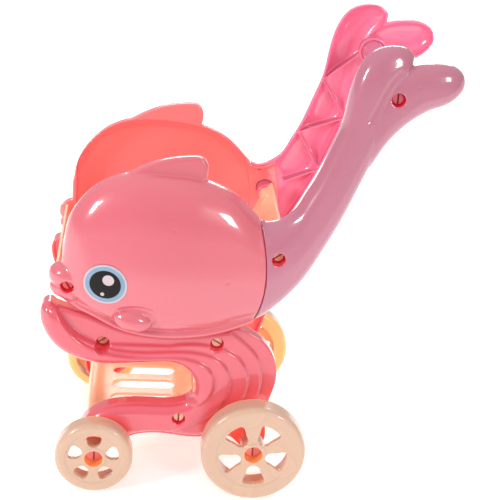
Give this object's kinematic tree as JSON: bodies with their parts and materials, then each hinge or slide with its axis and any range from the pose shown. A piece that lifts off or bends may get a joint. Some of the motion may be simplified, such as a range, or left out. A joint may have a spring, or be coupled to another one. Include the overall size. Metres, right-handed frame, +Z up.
{
  "type": "doll stroller",
  "caption": "Dolphin-shaped moulded plastic doll stroller with a seat, a lower shelf, a push bar and free-rolling wheels.",
  "frame": {"origin": "middle of the footprint, on the floor under the wheels", "axes": "-X is forwards, the way the fish looks; +Z is up; -Y is the stroller's left side"},
  "size_m": [0.3534, 0.228, 0.4216],
  "materials": {
    "body_pink": "gloss",
    "tail_lilac": "gloss",
    "base_pink": "gloss",
    "wheel_cream": "satin",
    "seat_cream": "satin",
    "screw_pink": "satin",
    "screw_cream": "satin",
    "sticker": "gloss"
  },
  "bodies": {
    "chassis": {"body_shell_left": "body_pink", "tail_shell_left": "tail_lilac", "base_frame_left": "base_pink", "axle_screw_front_left": "screw_pink", "axle_screw_rear_left": "screw_pink", "frame_screws_left": "screw_cream", "tail_screw_left": "screw_cream", "fluke_screw_left": "screw_pink", "snout_screw_left": "screw_pink", "eye_sticker_left": "sticker", "body_shell_right": "body_pink", "tail_shell_right": "tail_lilac", "base_frame_right": "base_pink", "axle_screw_front_right": "screw_pink", "axle_screw_rear_right": "screw_pink", "frame_screws_right": "screw_cream", "tail_screw_right": "screw_cream", "fluke_screw_right": "screw_pink", "snout_screw_right": "screw_pink", "eye_sticker_right": "sticker", "seat": "seat_cream", "shelf_tray": "seat_cream", "handle_bar": "tail_lilac"},
    "wheel_front_left": {"wheel_front_left": "wheel_cream"},
    "wheel_front_right": {"wheel_front_right": "wheel_cream"},
    "wheel_rear_left": {"wheel_rear_left": "wheel_cream"},
    "wheel_rear_right": {"wheel_rear_right": "wheel_cream"}
  },
  "joints": [
    {"name": "wheel_front_left_spin", "type": "hinge", "parent": "chassis", "child": "wheel_front_left", "pos_m": [-0.1252, -0.0975, 0.03515], "axis": [0, 1, 0], "continuous": true},
    {"name": "wheel_front_right_spin", "type": "hinge", "parent": "chassis", "child": "wheel_front_right", "pos_m": [-0.1252, 0.0975, 0.03515], "axis": [0, 1, 0], "continuous": true},
    {"name": "wheel_rear_left_spin", "type": "hinge", "parent": "chassis", "child": "wheel_rear_left", "pos_m": [0.0186, -0.103, 0.0475], "axis": [0, 1, 0], "continuous": true},
    {"name": "wheel_rear_right_spin", "type": "hinge", "parent": "chassis", "child": "wheel_rear_right", "pos_m": [0.0186, 0.103, 0.0475], "axis": [0, 1, 0], "continuous": true}
  ]
}
